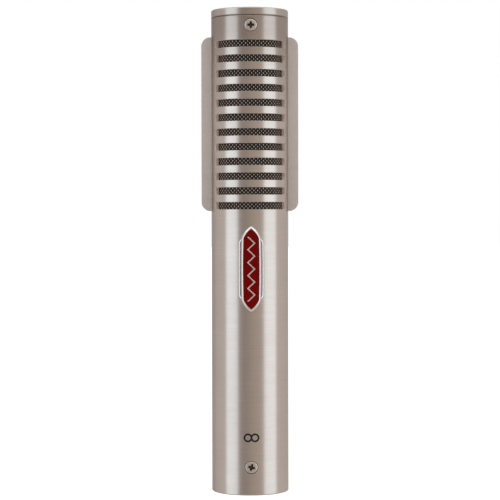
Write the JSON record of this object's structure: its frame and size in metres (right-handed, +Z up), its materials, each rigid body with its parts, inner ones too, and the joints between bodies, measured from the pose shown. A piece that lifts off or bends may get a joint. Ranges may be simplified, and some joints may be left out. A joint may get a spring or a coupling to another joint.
{
  "type": "ribbon microphone",
  "caption": "Slim side-address ribbon microphone: slotted satin nickel tube with wing-like flux frame edges, enamel badge and three-pin base socket.",
  "frame": {"origin": "centre of the base rim, where the microphone stands", "axes": "+Z up along the body; the address side with the badge faces -Y; the two wings point along X"},
  "size_m": [0.032, 0.0262, 0.1588],
  "materials": {
    "satin_nickel": "satin nickel, brushed round the body",
    "blasted_nickel": "bead-blasted satin nickel",
    "screen_steel": "woven steel wire, darkened",
    "screw_steel": "plated steel",
    "badge_chrome": "polished",
    "red_enamel": "deep red glossy enamel",
    "plated_magnet": "bright plating on neodymium",
    "soft_iron": "ground soft iron",
    "ribbon_foil": "thin corrugated aluminium foil",
    "brass": "machined brass",
    "gold": "gold-plated brass",
    "insulator": "fabric-filled phenolic",
    "black_plastic": "moulded black",
    "rubber": "moulded black rubber",
    "shield_metal": "drawn shielding alloy, annealed",
    "copper_winding": "enamelled copper wire under clear tape",
    "red_wire": "insulated wire",
    "black_wire": "insulated wire",
    "white_wire": "insulated wire",
    "green_wire": "insulated wire"
  },
  "bodies": {
    "microphone": {"body_tube": "satin_nickel", "top_cap": "satin_nickel", "cap_screw_front": "screw_steel", "cap_screw_rear": "screw_steel", "base_screw_front": "screw_steel", "base_screw_rear": "screw_steel", "badge_frame": "badge_chrome", "badge_enamel": "red_enamel", "outer_screen_front": "screen_steel", "outer_screen_rear": "screen_steel", "fine_screen_front": "screen_steel", "fine_screen_rear": "screen_steel", "flux_frame": "blasted_nickel", "magnet_left": "plated_magnet", "magnet_right": "plated_magnet", "pole_piece_left": "soft_iron", "pole_piece_right": "soft_iron", "ribbon_end_top": "ribbon_foil", "ribbon_end_bottom": "ribbon_foil", "clamp_block_top": "insulator", "clamp_block_bottom": "insulator", "clamp_bar_top": "brass", "clamp_bar_bottom": "brass", "clamp_screw_top_left": "screw_steel", "clamp_screw_top_right": "screw_steel", "clamp_screw_bottom_left": "screw_steel", "clamp_screw_bottom_right": "screw_steel", "block_screw_top_left": "screw_steel", "block_screw_top_right": "screw_steel", "block_screw_bottom_left": "screw_steel", "block_screw_bottom_right": "screw_steel", "chamber_floor": "black_plastic", "chamber_seal_ring": "rubber", "transformer_can": "shield_metal", "transformer_lid": "shield_metal", "transformer_winding": "copper_winding", "rubber_ring_upper": "rubber", "rubber_ring_lower": "rubber", "connector_shell": "satin_nickel", "connector_insert": "black_plastic", "pin_1_ground": "gold", "pin_2_hot": "gold", "pin_3_cold": "gold", "ground_tag": "screw_steel", "connector_retaining_ring": "screw_steel", "ribbon_lead_top": "red_wire", "ribbon_lead_bottom": "black_wire", "output_lead_hot": "white_wire", "output_lead_cold": "black_wire", "ground_lead": "green_wire"},
    "ribbon": {"ribbon_foil": "ribbon_foil"}
  },
  "joints": [
    {"name": "ribbon_excursion", "type": "slide", "parent": "microphone", "child": "ribbon", "axis": [0, 1, 0], "range_m": [-0.0005, 0.0005], "stiffness_N_per_m": 4}
  ]
}
